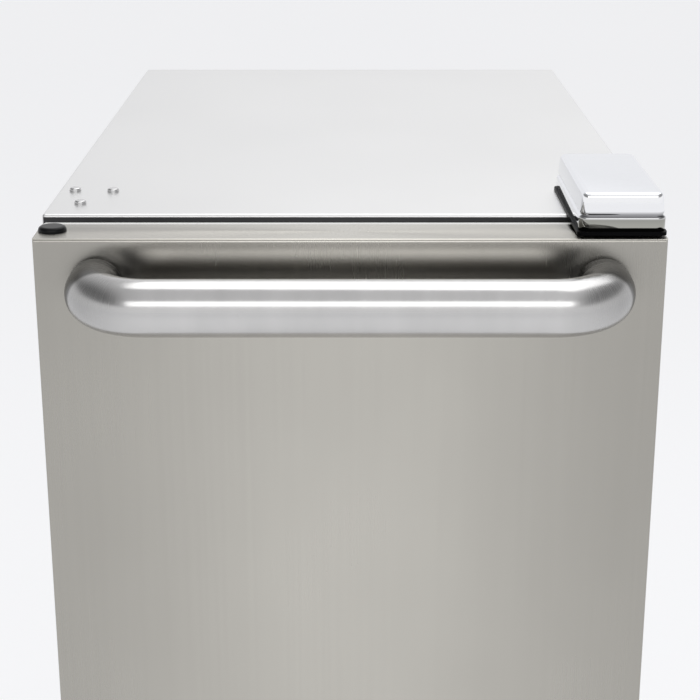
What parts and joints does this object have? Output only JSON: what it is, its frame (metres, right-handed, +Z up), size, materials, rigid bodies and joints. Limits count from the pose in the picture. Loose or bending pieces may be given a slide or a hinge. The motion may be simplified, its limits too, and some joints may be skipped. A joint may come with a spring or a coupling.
{
  "type": "trash compactor",
  "caption": "Narrow undercounter trash compactor with a side-hinged stainless door, bent-tube handle, pull-out bin and a ram on two power screws.",
  "frame": {"origin": "on the floor, under the middle of the whole object's box", "axes": "+Z up, the door faces -Y, +X is the hinge side, at the right of a person facing the door"},
  "size_m": [0.381, 0.6876, 0.8886],
  "materials": {
    "stainless_door": "vertical brushed grain, satin",
    "stainless_handle": "satin, grain round the tube",
    "stainless_cabinet": "fine satin",
    "chrome": "polished",
    "bright_screw": "bright zinc",
    "galvanised": "galvanised, spangled",
    "black_steel": "black powder coat",
    "ram_paint": "grey enamel, scuffed",
    "bin_paint": "charcoal textured enamel",
    "screw_steel": "turned steel, greased",
    "pulley_metal": "die cast",
    "bronze": "machined bronze",
    "motor_paint": "cast, black paint",
    "liner_plastic": "vacuum-formed, pale grey",
    "gasket_rubber": "soft dark grey",
    "belt_rubber": "matt black",
    "core_foam": "insulation",
    "filter_felt": "charcoal felt",
    "header_plastic": "satin black",
    "control_zinc": "zinc plated",
    "button_green": "moulded",
    "button_red": "moulded",
    "black_plastic": "moulded black",
    "lens": "amber, clear"
  },
  "bodies": {
    "cabinet": {"top_panel": "stainless_cabinet", "side_panel_left": "stainless_cabinet", "side_panel_right": "stainless_cabinet", "rear_panel": "galvanised", "base_pan": "galvanised", "toe_kick": "black_steel", "front_posts": "galvanised", "front_sill": "galvanised", "front_rail": "galvanised", "header_panel": "header_plastic", "filter_grille": "header_plastic", "charcoal_filter": "filter_felt", "control_box": "control_zinc", "pilot_lens": "lens", "frame_uprights": "galvanised", "crosshead": "galvanised", "upper_bushes": "bronze", "deck_plate": "galvanised", "screw_bearings": "bronze", "bay_back_panel": "galvanised", "bin_tracks": "galvanised", "gear_motor": "motor_paint", "drive_belt": "belt_rubber", "lock_solenoid": "control_zinc", "top_hinge_leaf": "black_steel", "hinge_cover": "chrome", "lower_hinge_bracket": "black_steel", "top_screws": "bright_screw", "panel_screws": "bright_screw", "cord_gland": "black_plastic", "wiring_harness": "black_plastic", "foot_front_left": "black_plastic", "foot_rear_left": "black_plastic", "foot_front_right": "black_plastic", "foot_rear_right": "black_plastic"},
    "door": {"door_skin": "stainless_door", "door_core": "core_foam", "door_liner": "liner_plastic", "door_gasket": "gasket_rubber", "handle_tube": "stainless_handle", "handle_screws": "bright_screw", "hinge_bushes": "black_plastic", "door_plugs": "black_plastic", "lock_strike": "control_zinc"},
    "ram": {"ram_plate": "ram_paint", "ram_frame": "ram_paint", "power_nuts": "bronze", "ram_bolts": "bright_screw"},
    "left_screw": {"power_screw_left": "screw_steel", "screw_pulley_left": "pulley_metal"},
    "right_screw": {"power_screw_right": "screw_steel", "screw_pulley_right": "pulley_metal"},
    "motor_shaft": {"motor_pulley": "screw_steel"},
    "bin_drawer": {"bin_carriage": "bin_paint", "bin": "bin_paint", "bin_pull": "bin_paint"},
    "start_button": {"start_button": "button_green"},
    "stop_button": {"stop_button": "button_red"},
    "key_knob": {"key_knob": "black_plastic"},
    "lock_bolt": {"lock_bolt": "control_zinc"}
  },
  "joints": [
    {"name": "door_hinge", "type": "hinge", "parent": "cabinet", "child": "door", "pos_m": [0.178, -0.26215, 0.48], "axis": [0, 0, 1], "range_deg": [0, 115]},
    {"name": "bin_slide", "type": "slide", "parent": "cabinet", "child": "bin_drawer", "axis": [0, -1, 0], "range_m": [0, 0.172]},
    {"name": "left_screw_turn", "type": "hinge", "parent": "cabinet", "child": "left_screw", "pos_m": [-0.16, 0.01785, 0.4], "axis": [0, 0, -1], "range_deg": [-8570, 1]},
    {"name": "right_screw_turn", "type": "hinge", "parent": "cabinet", "child": "right_screw", "pos_m": [0.16, 0.01785, 0.4], "axis": [0, 0, -1], "range_deg": [-8570, 1]},
    {"name": "motor_shaft_turn", "type": "hinge", "parent": "cabinet", "child": "motor_shaft", "pos_m": [0, 0.28285, 0.1], "axis": [0, 0, -1], "range_deg": [-17120, 1]},
    {"name": "ram_slide", "type": "slide", "parent": "cabinet", "child": "ram", "axis": [0, 0, 1], "range_m": [-0.285, 0]},
    {"name": "start_button_press", "type": "slide", "parent": "cabinet", "child": "start_button", "axis": [0, -1, 0], "range_m": [-0.004, 0], "stiffness_N_per_m": 300},
    {"name": "stop_button_press", "type": "slide", "parent": "cabinet", "child": "stop_button", "axis": [0, -1, 0], "range_m": [-0.004, 0], "stiffness_N_per_m": 300},
    {"name": "key_knob_turn", "type": "hinge", "parent": "cabinet", "child": "key_knob", "pos_m": [0.06, -0.21815, 0.76], "axis": [0, -1, 0], "range_deg": [-90, 0]},
    {"name": "lock_bolt_slide", "type": "slide", "parent": "cabinet", "child": "lock_bolt", "axis": [0, 1, 0], "range_m": [-0.022, 0], "stiffness_N_per_m": 80}
  ],
  "couplings": [
    {"joint": "bin_slide", "follows": "door_hinge", "m_per_rad": 0.085},
    {"joint": "left_screw_turn", "follows": "ram_slide", "rad_per_m": 523.6},
    {"joint": "right_screw_turn", "follows": "ram_slide", "rad_per_m": 523.6},
    {"joint": "motor_shaft_turn", "follows": "ram_slide", "rad_per_m": 1047.2}
  ]
}
